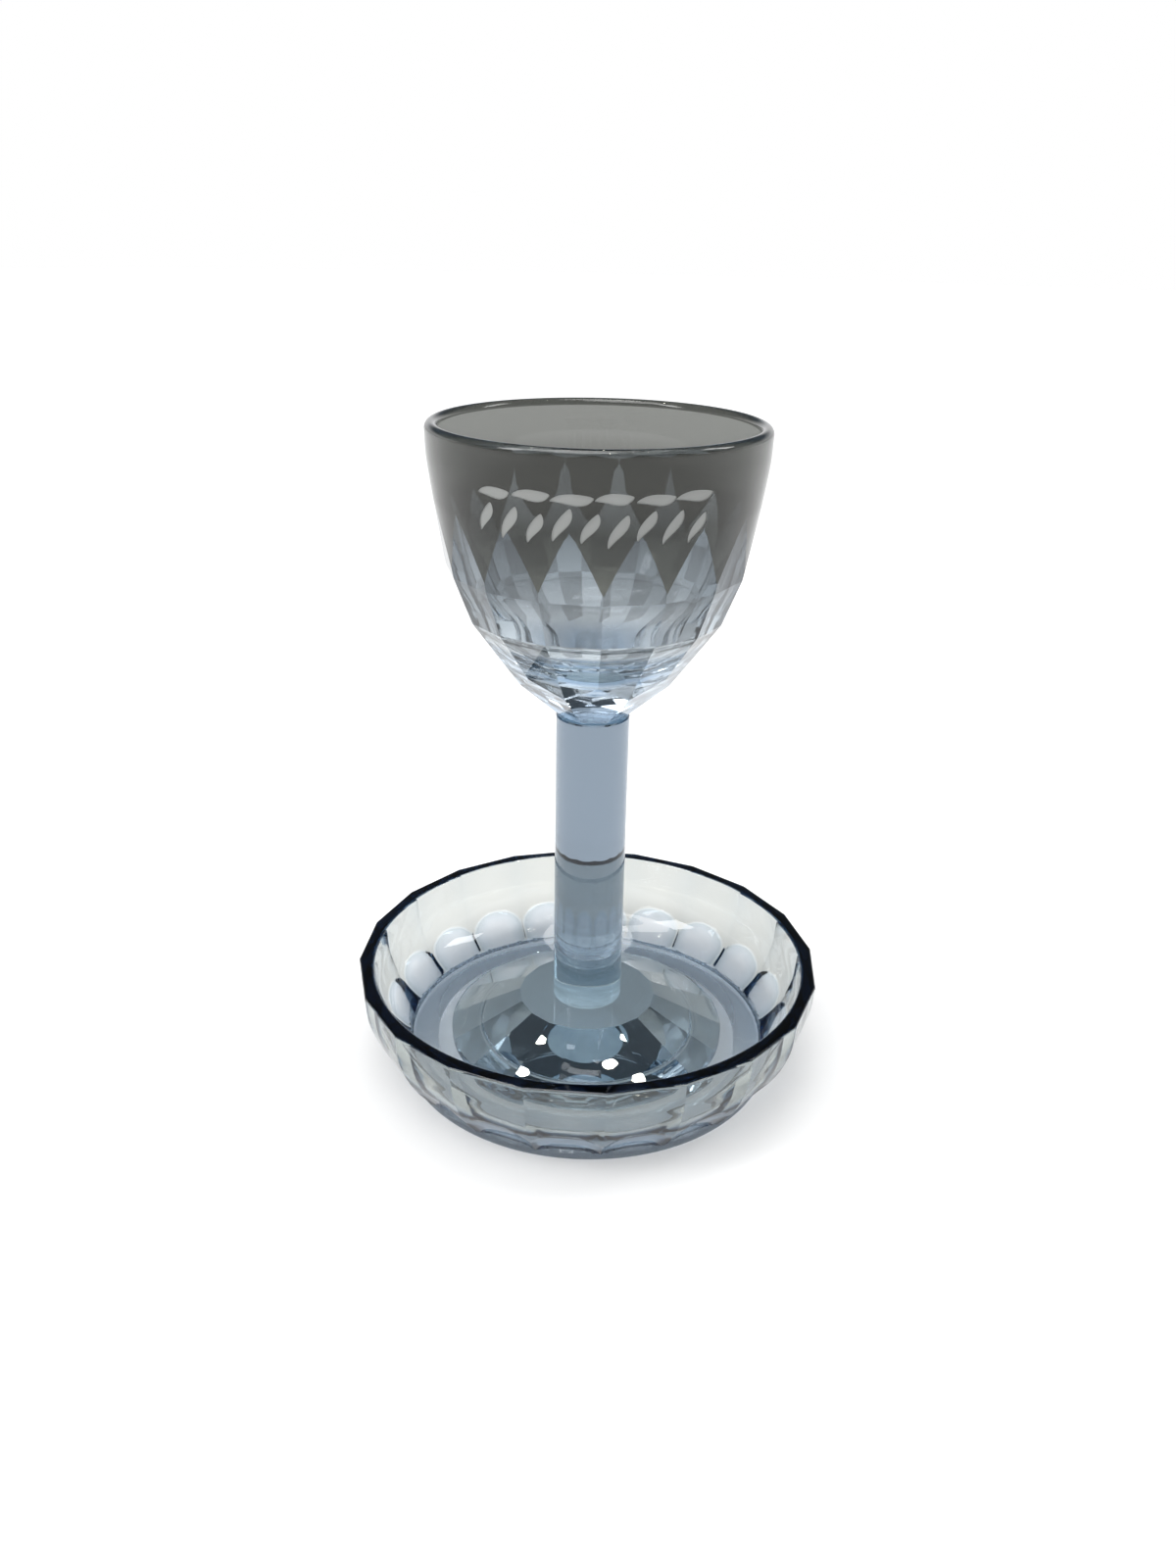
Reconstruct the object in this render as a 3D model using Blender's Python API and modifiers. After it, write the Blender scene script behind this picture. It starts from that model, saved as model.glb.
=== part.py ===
"""Cut-glass kiddush cup standing in its twenty-sided saucer.

Four clear solids share one upright axis: the saucer, and the cup's foot, stem
and bowl. Metres, +Z up, with the origin at the middle of the saucer's underside.
Angles run anticlockwise from +X, and the cup's front faces -Y.
"""

import bpy
import bmesh
from math import atan2, cos, pi, radians, sin, tau
from mathutils import Vector

MM = 0.001

# Clearance between pieces that touch
GAP = 0.3 * MM

# Saucer, outer wall. Its panels' corners lie on these radii
PANELS = 20
PANEL_TURN = radians(4.5)
SAUCER_HEIGHT = 25.1 * MM
SAUCER_RADIUS = 54.1 * MM
SHOULDER_DROP = 8.1 * MM
SHOULDER_INSET = 0.9 * MM
WAIST_DROP = 15.6 * MM
WAIST_INSET = 3.9 * MM
SAUCER_RIM_CHAMFER = 0.5 * MM

# Saucer, scoops pressed into the lower end of each panel
SCOOP_DEPTH = 0.9 * MM
SCOOP_HEIGHT = 9.0 * MM

# Saucer, inside and underside
SAUCER_WALL = 3.7 * MM
SAUCER_LOWER_WALL = 4.6 * MM
FLOOR_RADIUS = 36.0 * MM
FLOOR_THICKNESS = 3.0 * MM
RING_RADIUS = 44.4 * MM
RING_HEIGHT = 2.3 * MM
RING_WIDTH = 6.0 * MM
RING_ROUNDING = 0.9 * MM
RECESS_DEPTH = 0.8 * MM

# Cup foot
FOOT_FACETS = 18
FOOT_TURN = radians(17.6)
FOOT_RADIUS = 32.7 * MM
FOOT_EDGE = 2.2 * MM
FOOT_SLOPE_HEIGHT = 8.0 * MM
TABLE_RADIUS = 16.2 * MM
FOOT_CHAMFER = 0.4 * MM

# Cup stem
STEM_RADIUS = 8.1 * MM
STEM_LENGTH = 71.6 * MM
STEM_CHAMFER = 0.3 * MM

# Cup bowl, outside. The radii are measured to the middle of a facet
FACETS = 16
FACET_TURN = radians(2.5)
SEAT_LEDGE = 1.4 * MM
BASE_ROW_HEIGHT = 11.5 * MM
LOWER_RADIUS = 18.8 * MM
LOWER_ROW_HEIGHT = 11.8 * MM
MIDDLE_RADIUS = 27.1 * MM
MIDDLE_ROW_HEIGHT = 9.8 * MM
UPPER_RADIUS = 30.8 * MM
UPPER_ROW_HEIGHT = 14.4 * MM
CUSP_HEIGHT = 1.9 * MM
ARCH_RADIUS = 33.6 * MM
BAND_HEIGHT = 15.0 * MM
RIM_RADIUS = 35.0 * MM
GRINDING_MARGIN = 2.5 * MM

# Cup bowl, inside
RIM_WALL = 2.8 * MM
BAND_WALL = 2.4 * MM
UPPER_WALL = 2.9 * MM
LOWER_WALL = 4.2 * MM
BOWL_BASE = 13.0 * MM

# Fineness of the round surfaces
STEPS_PER_FACET = 4
STEM_STEPS = 48
ARC_STEPS = 4

# Heights, stacked from the ground up
FLOOR_Z = RECESS_DEPTH + FLOOR_THICKNESS
FOOT_Z = FLOOR_Z + GAP
TABLE_Z = FOOT_Z + FOOT_EDGE + FOOT_SLOPE_HEIGHT
STEM_Z = TABLE_Z + GAP
BOWL_Z = STEM_Z + STEM_LENGTH + GAP
LOWER_Z = BOWL_Z + BASE_ROW_HEIGHT
MIDDLE_Z = LOWER_Z + LOWER_ROW_HEIGHT
UPPER_Z = MIDDLE_Z + MIDDLE_ROW_HEIGHT
ARCH_Z = UPPER_Z + UPPER_ROW_HEIGHT
RIM_Z = ARCH_Z + BAND_HEIGHT


def empty_scene():
    for old in list(bpy.data.objects):
        bpy.data.objects.remove(old, do_unlink=True)


def collection(name):
    group = bpy.data.collections.new(name)
    bpy.context.scene.collection.children.link(group)
    return group


def glass(name, colour):
    material = bpy.data.materials.new(name)
    material.use_nodes = True
    shader = material.node_tree.nodes["Principled BSDF"]
    shader.inputs["Base Color"].default_value = (*colour, 1.0)
    shader.inputs["Roughness"].default_value = 0.02
    shader.inputs["Metallic"].default_value = 0.0
    shader.inputs["IOR"].default_value = 1.52
    shader.inputs["Transmission Weight"].default_value = 1.0
    return material


def add_object(name, mesh, group, material):
    piece = bpy.data.objects.new(name, mesh)
    group.objects.link(piece)
    mesh.materials.clear()
    mesh.materials.append(material)
    return piece


def smooth_curve(points, steps):
    """Catmull-Rom curve through (radius, height) points, ends included."""
    knots = [Vector(point) for point in points]
    first = knots[0] * 2 - knots[1]
    last = knots[-1] * 2 - knots[-2]
    knots = [first, *knots, last]
    curve = [knots[1]]
    for a, b, c, d in zip(knots, knots[1:], knots[2:], knots[3:]):
        for step in range(1, steps + 1):
            t = step / steps
            curve.append(0.5 * (2 * b + (c - a) * t + (2 * a - 5 * b + 4 * c - d) * t ** 2
                                + (3 * b - a - 3 * c + d) * t ** 3))
    return [tuple(point) for point in curve]


def arc(centre, radii, start, end, steps=ARC_STEPS):
    """Points of an elliptic arc in the (radius, height) plane, both ends included."""
    angles = [start + (end - start) * step / steps for step in range(steps + 1)]
    return [(centre[0] + radii[0] * cos(a), centre[1] + radii[1] * sin(a)) for a in angles]


def turned_mesh(name, outline, steps):
    """Closed mesh from an outline that runs down the outer side, turned about Z."""
    profile = bpy.data.meshes.new(name)
    profile.from_pydata([(r, 0.0, z) for r, z in outline],
                        [(i, i + 1) for i in range(len(outline) - 1)], [])
    guide = bpy.data.objects.new(name + "_profile", profile)
    bpy.context.scene.collection.objects.link(guide)
    screw = guide.modifiers.new("Turn", 'SCREW')
    screw.steps = steps
    screw.render_steps = steps
    screw.use_merge_vertices = True
    screw.merge_threshold = 0.00001
    screw.use_smooth_shade = True
    bpy.context.view_layer.update()
    evaluated = guide.evaluated_get(bpy.context.evaluated_depsgraph_get())
    mesh = bpy.data.meshes.new_from_object(evaluated)
    mesh.name = name
    bpy.data.objects.remove(guide, do_unlink=True)
    bpy.data.meshes.remove(profile)
    return mesh


def reshape(mesh, action):
    """Runs an edit on the mesh through bmesh and leaves its faces pointing out."""
    bm = bmesh.new()
    bm.from_mesh(mesh)
    action(bm)
    bmesh.ops.recalc_face_normals(bm, faces=bm.faces)
    bm.to_mesh(mesh)
    bm.free()


def cut_flat(bm, point, normal):
    """Grinds off what lies beyond the plane and closes the cut with one flat face."""
    geometry = bm.verts[:] + bm.edges[:] + bm.faces[:]
    cut = bmesh.ops.bisect_plane(bm, geom=geometry, dist=1e-7, plane_co=point,
                                 plane_no=normal, clear_outer=True)
    edges = [item for item in cut["geom_cut"] if isinstance(item, bmesh.types.BMEdge)]
    if edges:
        face = bmesh.ops.contextual_create(bm, geom=edges)["faces"][0]
        face.smooth = False


def cut_ring(bm, count, first, low, high):
    """Grinds a ring of flat facets whose middle lines pass through two (radius, height) points."""
    lean = (high[1] - low[1], low[0] - high[0])
    for index in range(count):
        angle = first + tau * index / count
        normal = Vector((cos(angle) * lean[0], sin(angle) * lean[0], lean[1])).normalized()
        cut_flat(bm, Vector((cos(angle) * low[0], sin(angle) * low[0], low[1])), normal)


def panelled(radius, height, angle):
    """Radius of the saucer's outside at an angle: a flat panel with a scoop at its lower end."""
    half = pi / PANELS
    offset = angle % (2 * half) - half
    up = (height - RING_HEIGHT) / SCOOP_HEIGHT
    scoop = SCOOP_DEPTH * (1.0 - (offset / half) ** 2) * max(0.0, 1.0 - up ** 2)
    return radius * cos(half) / cos(offset) - scoop


def panel_outside(bm):
    """Turns the round outer wall above the foot ring into panels."""
    inside = inner_radius_at()
    for vert in bm.verts:
        radius = vert.co.xy.length
        if vert.co.z > RING_HEIGHT and radius > inside(vert.co.z) + SAUCER_WALL / 2:
            vert.co.xy *= panelled(radius, vert.co.z, atan2(vert.co.y, vert.co.x)) / radius


def outer_wall_points():
    return [(SAUCER_RADIUS, SAUCER_HEIGHT - SAUCER_RIM_CHAMFER),
            (SAUCER_RADIUS - SHOULDER_INSET, SAUCER_HEIGHT - SHOULDER_DROP),
            (SAUCER_RADIUS - WAIST_INSET, SAUCER_HEIGHT - WAIST_DROP),
            (RING_RADIUS + RING_ROUNDING, RING_HEIGHT + RING_ROUNDING / 4)]


def inner_wall_points():
    return [(SAUCER_RADIUS - SAUCER_WALL, SAUCER_HEIGHT - SAUCER_RIM_CHAMFER),
            (SAUCER_RADIUS - SHOULDER_INSET - SAUCER_WALL, SAUCER_HEIGHT - SHOULDER_DROP),
            (SAUCER_RADIUS - WAIST_INSET - SAUCER_LOWER_WALL, SAUCER_HEIGHT - WAIST_DROP),
            (FLOOR_RADIUS, FLOOR_Z)]


def inner_radius_at():
    """Function that gives the inner wall's radius at a height."""
    points = smooth_curve(inner_wall_points(), ARC_STEPS)

    def radius(height):
        for (r0, z0), (r1, z1) in zip(points, points[1:]):
            if z1 <= height <= z0:
                return r1 + (r0 - r1) * (height - z1) / (z0 - z1)
        return points[0][0]
    return radius


def saucer(group):
    """Panelled outside, smooth inside, and a round foot ring with a shallow recess."""
    ring_inner = RING_RADIUS - RING_WIDTH
    outline = [(0.0, FLOOR_Z)]
    outline += reversed(smooth_curve(inner_wall_points(), ARC_STEPS - 1))
    outline += [(SAUCER_RADIUS - SAUCER_WALL + SAUCER_RIM_CHAMFER, SAUCER_HEIGHT),
                (SAUCER_RADIUS - SAUCER_RIM_CHAMFER, SAUCER_HEIGHT)]
    outline += smooth_curve(outer_wall_points(), ARC_STEPS)
    outline += [(RING_RADIUS, RING_HEIGHT - RING_ROUNDING / 4)]
    outline += arc((RING_RADIUS - RING_ROUNDING, RING_ROUNDING), (RING_ROUNDING, RING_ROUNDING), 0.0, -pi / 2)
    outline += [(ring_inner, 0.0), (ring_inner - RECESS_DEPTH, RECESS_DEPTH), (0.0, RECESS_DEPTH)]
    mesh = turned_mesh("saucer", outline, PANELS * STEPS_PER_FACET)
    reshape(mesh, panel_outside)
    mesh.set_sharp_from_angle(angle=radians(12))
    piece = add_object("saucer", mesh, group, glass("saucer_glass", (0.86, 0.89, 0.93)))
    piece.rotation_euler.z = PANEL_TURN


def cup_foot(group):
    """Round disc ground to a ring of sloping facets around a flat table."""
    edge_z = FOOT_Z + FOOT_EDGE
    table_middle = TABLE_RADIUS * cos(pi / FOOT_FACETS)
    outline = [(0.0, TABLE_Z), (FOOT_RADIUS, TABLE_Z), (FOOT_RADIUS, FOOT_Z + FOOT_CHAMFER),
               (FOOT_RADIUS - FOOT_CHAMFER, FOOT_Z), (0.0, FOOT_Z)]
    mesh = turned_mesh("cup_foot", outline, FOOT_FACETS * STEPS_PER_FACET)
    reshape(mesh, lambda bm: cut_ring(bm, FOOT_FACETS, pi / FOOT_FACETS,
                                      (FOOT_RADIUS, edge_z), (table_middle, TABLE_Z)))
    mesh.set_sharp_from_angle(angle=radians(12))
    piece = add_object("cup_foot", mesh, group, glass("foot_glass", (0.72, 0.80, 0.86)))
    piece.rotation_euler.z = FOOT_TURN


def cup_stem(group):
    """Plain round rod between the foot's table and the bowl."""
    top = STEM_Z + STEM_LENGTH
    outline = [(0.0, top), (STEM_RADIUS - STEM_CHAMFER, top), (STEM_RADIUS, top - STEM_CHAMFER),
               (STEM_RADIUS, STEM_Z + STEM_CHAMFER), (STEM_RADIUS - STEM_CHAMFER, STEM_Z), (0.0, STEM_Z)]
    mesh = turned_mesh("cup_stem", outline, STEM_STEPS)
    mesh.set_sharp_from_angle(angle=radians(30))
    add_object("cup_stem", mesh, group, glass("stem_glass", (0.70, 0.78, 0.88)))


def bowl_blank():
    """Round outline of the bowl before its facets are ground, rim to base."""
    climb = CUSP_HEIGHT / UPPER_ROW_HEIGHT
    cusp_radius = (UPPER_RADIUS + climb * (ARCH_RADIUS - UPPER_RADIUS)) / cos(pi / FACETS)
    lip_z = RIM_Z - RIM_WALL / 2
    rounding = arc((RIM_RADIUS - RIM_WALL / 2, lip_z), (RIM_WALL / 2, RIM_WALL / 2), pi / 2, 0.0)
    band = smooth_curve([(RIM_RADIUS, lip_z), (ARCH_RADIUS, ARCH_Z), (cusp_radius, UPPER_Z + CUSP_HEIGHT)],
                        ARC_STEPS)
    rough = [(MIDDLE_RADIUS + GRINDING_MARGIN, MIDDLE_Z), (LOWER_RADIUS + GRINDING_MARGIN, LOWER_Z),
             (STEM_RADIUS - SEAT_LEDGE + GRINDING_MARGIN, BOWL_Z)]
    return [(0.0, RIM_Z)] + rounding + band[1:] + rough + [(0.0, BOWL_Z)]


def cavity_outline():
    """Round outline of the drinking hollow, from above the rim to its rounded floor."""
    floor_z = BOWL_Z + BOWL_BASE
    lip = (RIM_RADIUS - RIM_WALL / 2, RIM_Z - RIM_WALL / 2)
    rounding = arc(lip, (RIM_WALL / 2, RIM_WALL / 2), pi / 2, pi)
    wall = smooth_curve([rounding[-1], (ARCH_RADIUS - BAND_WALL, ARCH_Z),
                         (UPPER_RADIUS - UPPER_WALL, UPPER_Z),
                         (MIDDLE_RADIUS - LOWER_WALL, MIDDLE_Z)], ARC_STEPS - 1)
    floor = arc((0.0, MIDDLE_Z), (wall[-1][0], MIDDLE_Z - floor_z), 0.0, -pi / 2, ARC_STEPS + 2)
    above = RIM_Z + RIM_WALL
    return [(0.0, above), (lip[0], above)] + rounding + wall[1:] + floor[1:]


def bowl_facets(bm):
    """Three aligned rows of facets, and a base row of half as many between them."""
    middle = pi / FACETS
    cut_ring(bm, FACETS, middle, (UPPER_RADIUS, UPPER_Z), (ARCH_RADIUS, ARCH_Z))
    cut_ring(bm, FACETS, middle, (MIDDLE_RADIUS, MIDDLE_Z), (UPPER_RADIUS, UPPER_Z))
    cut_ring(bm, FACETS, middle, (LOWER_RADIUS, LOWER_Z), (MIDDLE_RADIUS, MIDDLE_Z))
    cut_ring(bm, FACETS // 2, 0.0, (STEM_RADIUS - SEAT_LEDGE, BOWL_Z), (LOWER_RADIUS, LOWER_Z))


def cup_bowl(group, cutters):
    """Thick blank with ground facets outside and a smooth round hollow inside."""
    mesh = turned_mesh("cup_bowl", bowl_blank(), FACETS * STEPS_PER_FACET)
    reshape(mesh, bowl_facets)
    bowl = add_object("cup_bowl", mesh, group, glass("bowl_glass", (0.74, 0.77, 0.80)))
    hollow = turned_mesh("cup_hollow", cavity_outline(), FACETS * STEPS_PER_FACET)
    cutter = add_object("cup_hollow", hollow, cutters, mesh.materials[0])
    cutter.hide_render = True
    cutter.display_type = 'WIRE'
    for piece in (bowl, cutter):
        piece.rotation_euler.z = FACET_TURN
    carve = bowl.modifiers.new("Hollow", 'BOOLEAN')
    carve.operation = 'DIFFERENCE'
    carve.solver = 'EXACT'
    carve.object = cutter


def main():
    empty_scene()
    group = collection("kiddush_cup")
    cutters = collection("cutters")
    saucer(group)
    cup_foot(group)
    cup_stem(group)
    cup_bowl(group, cutters)


main()
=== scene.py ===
"""Cut-glass kiddush cup in its saucer, dressed for a picture on a pale table.

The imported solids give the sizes. The saucer and the cup are modelled again here
with their ground facets, pressed petals, turned rings and shallow strokes, and
stand for the plain solids.
"""

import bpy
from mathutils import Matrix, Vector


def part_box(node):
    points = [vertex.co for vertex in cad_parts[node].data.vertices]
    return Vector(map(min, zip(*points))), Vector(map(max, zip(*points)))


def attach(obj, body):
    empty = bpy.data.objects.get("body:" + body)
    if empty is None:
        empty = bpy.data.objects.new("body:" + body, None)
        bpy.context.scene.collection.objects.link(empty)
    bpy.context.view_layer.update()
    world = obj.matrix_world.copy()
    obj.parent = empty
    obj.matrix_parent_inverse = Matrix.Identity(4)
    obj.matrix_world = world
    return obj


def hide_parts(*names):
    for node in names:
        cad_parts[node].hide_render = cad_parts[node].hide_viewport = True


bl_info = {
    "name": "Kiddush Cup and Saucer",
    "version": (1, 0, 0),
    "blender": (4, 5, 0),
    "location": "View3D > Sidebar > Kiddush Cup",
    "description": "Models a cut-glass kiddush cup and its panelled saucer on a pale table",
    "category": "Add Mesh",
}

from math import atan2, cos, pi, radians, sin, sqrt, tau

import bmesh
import bpy
from bpy.props import FloatProperty, FloatVectorProperty, IntProperty, PointerProperty
from mathutils import Matrix, Vector, noise

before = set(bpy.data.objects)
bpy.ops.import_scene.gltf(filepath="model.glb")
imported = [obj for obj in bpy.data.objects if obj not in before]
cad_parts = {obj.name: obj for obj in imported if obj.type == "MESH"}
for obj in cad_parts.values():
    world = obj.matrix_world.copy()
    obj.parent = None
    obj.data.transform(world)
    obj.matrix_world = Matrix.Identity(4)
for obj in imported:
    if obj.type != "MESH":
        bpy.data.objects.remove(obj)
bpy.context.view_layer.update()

MM = 0.001
SAUCER_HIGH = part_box("saucer")[1]
FOOT_LOW, FOOT_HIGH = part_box("cup_foot")
STEM_LOW, STEM_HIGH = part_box("cup_stem")
BOWL_LOW, BOWL_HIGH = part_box("cup_bowl")
LIP_WALL = 2.8 * MM
LIP_Z = BOWL_HIGH.z - LIP_WALL / 2

MERGE_DISTANCE = 1e-7
SAME_HEIGHT = 1e-6
LEVEL_NORMAL = 0.999
WHITE = (1.0, 1.0, 1.0)


class SaucerSize(bpy.types.PropertyGroup):
    panels: IntProperty(
        name="Panels", description="Flat panels around the outside", default=20, min=3)
    radius: FloatProperty(
        name="Radius", description="From the axis to a corner of the rim",
        default=54.1 * MM, unit='LENGTH', precision=4)
    height: FloatProperty(
        name="Height", description="From the table to the rim",
        default=SAUCER_HIGH.z, unit='LENGTH', precision=4)
    wall: FloatProperty(
        name="Wall", description="Thickness of the wall at the rim",
        default=3.7 * MM, unit='LENGTH', precision=4)
    petal_depth: FloatProperty(
        name="Petal Depth", description="How deep each petal is pressed into the lower wall",
        default=0.9 * MM, unit='LENGTH', precision=4)
    tint: FloatVectorProperty(
        name="Wall Tint", description="Colour that the upper wall lets through",
        subtype='COLOR', default=(0.78, 0.72, 0.60), size=3, min=0.0, max=1.0)
    # Painted shade: the darker colour inside each petal, between a painted light outline and painted
    # glints.
    petal_painted_shade: FloatVectorProperty(
        name="Petal Tint", description="Colour that the petals let through",
        subtype='COLOR', default=(0.62, 0.67, 0.67), size=3, min=0.0, max=1.0)
    base_tint: FloatVectorProperty(
        name="Base Tint", description="Colour that the floor lets through",
        subtype='COLOR', default=(0.94, 0.96, 0.97), size=3, min=0.0, max=1.0)
    # Painted shade: the rim's top is coloured nearly black, standing in for the darkness of the wall
    # seen edge on.
    rim_painted_shade: FloatVectorProperty(
        name="Rim Tint", description="Colour of the thick rim",
        subtype='COLOR', default=(0.004, 0.007, 0.016), size=3, min=0.0, max=1.0)
    depth_colour: FloatVectorProperty(
        name="Depth Colour", description="Colour that thick glass takes on",
        subtype='COLOR', default=(0.11, 0.34, 0.54), size=3, min=0.0, max=1.0)
    depth_strength: FloatProperty(
        name="Depth Strength", description="How fast the colour deepens, per metre",
        default=85.0, min=0.0)


class CupSize(bpy.types.PropertyGroup):
    facets: IntProperty(
        name="Bowl Facets", description="Facets in each row around the bowl", default=16, min=6)
    foot_facets: IntProperty(
        name="Foot Facets", description="Facets around the foot", default=18, min=6)
    rim_radius: FloatProperty(
        name="Rim Radius", description="Outside radius of the mouth",
        default=BOWL_HIGH.x, unit='LENGTH', precision=4)
    stem_radius: FloatProperty(
        name="Stem Radius", description="Radius of the round rod",
        default=STEM_HIGH.x, unit='LENGTH', precision=4)
    foot_radius: FloatProperty(
        name="Foot Radius", description="Radius of the foot's round edge",
        default=FOOT_HIGH.x, unit='LENGTH', precision=4)
    stroke_depth: FloatProperty(
        name="Stroke Depth", description="How deep the strokes on the front are cut",
        default=0.16 * MM, unit='LENGTH', precision=5)
    # Painted shade: the band below the rim is darkened, standing in for the dark surroundings seen
    # through it.
    band_painted_shade: FloatVectorProperty(
        name="Smoke", description="Tint of the plain band below the rim",
        subtype='COLOR', default=(0.076, 0.078, 0.070), size=3, min=0.0, max=1.0)
    # Painted shade: nearly black between the arches, standing in for the dark shapes refracted
    # there.
    arch_gap_painted_shade: FloatVectorProperty(
        name="Deep Smoke", description="Tint of the plain band between the arches",
        subtype='COLOR', default=(0.011, 0.0115, 0.0085), size=3, min=0.0, max=1.0)
    # Painted light and shade by height: this colour and the next three set how dark each row of
    # facets is, standing in for what that row refracts, from darkest at the arches to lightest on
    # the row above the base row.
    arch_facet_painted_shade: FloatVectorProperty(
        name="Lilac", description="Tint of the arched facets",
        subtype='COLOR', default=(0.155, 0.185, 0.21), size=3, min=0.0, max=1.0)
    middle: FloatVectorProperty(
        name="Middle", description="Tint of the facets halfway up the bowl",
        subtype='COLOR', default=(0.42, 0.48, 0.52), size=3, min=0.0, max=1.0)
    pale: FloatVectorProperty(
        name="Pale", description="Tint of the lowest facets of the bowl",
        subtype='COLOR', default=(0.88, 0.93, 0.96), size=3, min=0.0, max=1.0)
    base: FloatVectorProperty(
        name="Base", description="Tint of the bowl's base row",
        subtype='COLOR', default=(0.20, 0.31, 0.46), size=3, min=0.0, max=1.0)
    # Painted shade: the rounded edges between facets are darkened, standing in for the dark lines
    # that refraction draws along them.
    border: FloatVectorProperty(
        name="Facet Borders", description="Tint of the rounded edges between facets",
        subtype='COLOR', default=(0.10, 0.15, 0.22), size=3, min=0.0, max=1.0)
    lining: FloatVectorProperty(
        name="Lining", description="Tint of the smooth inside of the bowl",
        subtype='COLOR', default=(0.82, 0.82, 0.82), size=3, min=0.0, max=1.0)
    # Painted shade: the stem is darkened, standing in for the dark surroundings it refracts. The
    # next colour lightens its lower end as painted light.
    stem_painted_shade: FloatVectorProperty(
        name="Steel", description="Tint of the stem",
        subtype='COLOR', default=(0.225, 0.275, 0.33), size=3, min=0.0, max=1.0)
    stem_foot_painted_light: FloatVectorProperty(
        name="Stem Foot", description="Tint of the stem's lower end",
        subtype='COLOR', default=(0.78, 0.92, 1.0), size=3, min=0.0, max=1.0)
    foot_tint: FloatVectorProperty(
        name="Foot", description="Tint of the foot",
        subtype='COLOR', default=(0.70, 0.75, 0.75), size=3, min=0.0, max=1.0)
    cement: FloatVectorProperty(
        name="Cement", description="Colour of the clouded films in the joints",
        subtype='COLOR', default=(0.85, 0.90, 0.88), size=3, min=0.0, max=1.0)
    depth_colour: FloatVectorProperty(
        name="Depth Colour", description="Colour that thick glass takes on",
        subtype='COLOR', default=(0.11, 0.38, 0.62), size=3, min=0.0, max=1.0)
    depth_strength: FloatProperty(
        name="Depth Strength", description="How fast the colour deepens, per metre",
        default=9.0, min=0.0)


class StageLook(bpy.types.PropertyGroup):
    floor_colour: FloatVectorProperty(
        name="Floor", description="Colour of the table top",
        subtype='COLOR', default=(0.6, 0.6, 0.6), size=3, min=0.0, max=1.0)
    # Painted shadow: the light the table top gives by itself under the glass, lower than the full
    # amount around it.
    painted_shadow_glow: FloatProperty(
        name="Floor Glow", description="Light that the translucent table top gives by itself",
        default=0.55, min=0.0)
    key: FloatProperty(
        name="Key Light", description="Strength of the soft light from above", default=1.0, min=0.0)
    lamps: FloatProperty(
        name="Lamps", description="Strength of the small lamps that make the sparkles",
        default=1.0, min=0.0)


class Value:
    """A socket's value, on which a material's sums are written as expressions."""

    def __init__(self, maker, socket):
        self.maker = maker
        self.socket = socket

    def sum(self, operation, first, second):
        return self.maker.node('ShaderNodeMath', {"operation": operation}, {0: first, 1: second})

    def __add__(self, other):
        return self.sum('ADD', self, other)

    def __radd__(self, other):
        return self.sum('ADD', other, self)

    def __sub__(self, other):
        return self.sum('SUBTRACT', self, other)

    def __rsub__(self, other):
        return self.sum('SUBTRACT', other, self)

    def __mul__(self, other):
        return self.sum('MULTIPLY', self, other)

    def __rmul__(self, other):
        return self.sum('MULTIPLY', other, self)

    def __truediv__(self, other):
        return self.sum('DIVIDE', self, other)

    def __rtruediv__(self, other):
        return self.sum('DIVIDE', other, self)


class NodeMaker:
    """Adds nodes to an emptied node tree."""

    def __init__(self, tree):
        self.tree = tree
        tree.nodes.clear()

    def node(self, kind, settings, values, output=0):
        """A node with its settings made first, then its sockets filled. Gives one of its outputs."""
        node = self.tree.nodes.new(kind)
        for name, setting in settings.items():
            if name == "stops":
                self.set_stops(node.color_ramp, setting)
            else:
                setattr(node, name, setting)
        for name, value in values.items():
            if isinstance(value, Value):
                self.tree.links.new(value.socket, node.inputs[name])
            else:
                node.inputs[name].default_value = value
        if not node.outputs:
            return None
        return Value(self, node.outputs[output])

    def set_stops(self, ramp, stops):
        while len(ramp.elements) > 1:
            ramp.elements.remove(ramp.elements[-1])
        for index, (place, colour) in enumerate(stops):
            if index:
                ramp.elements.new(place)
            ramp.elements[index].position = place
            ramp.elements[index].color = (*colour, 1.0)

    def attribute(self, name):
        return self.node('ShaderNodeAttribute', {"attribute_name": name}, {}, "Fac")

    def mix_colour(self, factor, first, second):
        return self.node('ShaderNodeMix', {"data_type": 'RGBA'}, {0: factor, 6: first, 7: second}, 2)


def smooth_curve(points, steps):
    """Catmull-Rom curve through (radius, height) points, ends included."""
    knots = [Vector(point) for point in points]
    knots = [knots[0] * 2 - knots[1], *knots, knots[-1] * 2 - knots[-2]]
    curve = [knots[1]]
    for a, b, c, d in zip(knots, knots[1:], knots[2:], knots[3:]):
        for step in range(1, steps + 1):
            t = step / steps
            curve.append(0.5 * (2 * b + (c - a) * t + (2 * a - 5 * b + 4 * c - d) * t ** 2
                                + (3 * b - a - 3 * c + d) * t ** 3))
    return [tuple(point) for point in curve]


def arc(centre, radii, start, end, steps):
    """Points of an elliptic arc in the (radius, height) plane, both ends included."""
    angles = [start + (end - start) * step / steps for step in range(steps + 1)]
    return [(centre[0] + radii[0] * cos(a), centre[1] + radii[1] * sin(a)) for a in angles]


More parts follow.
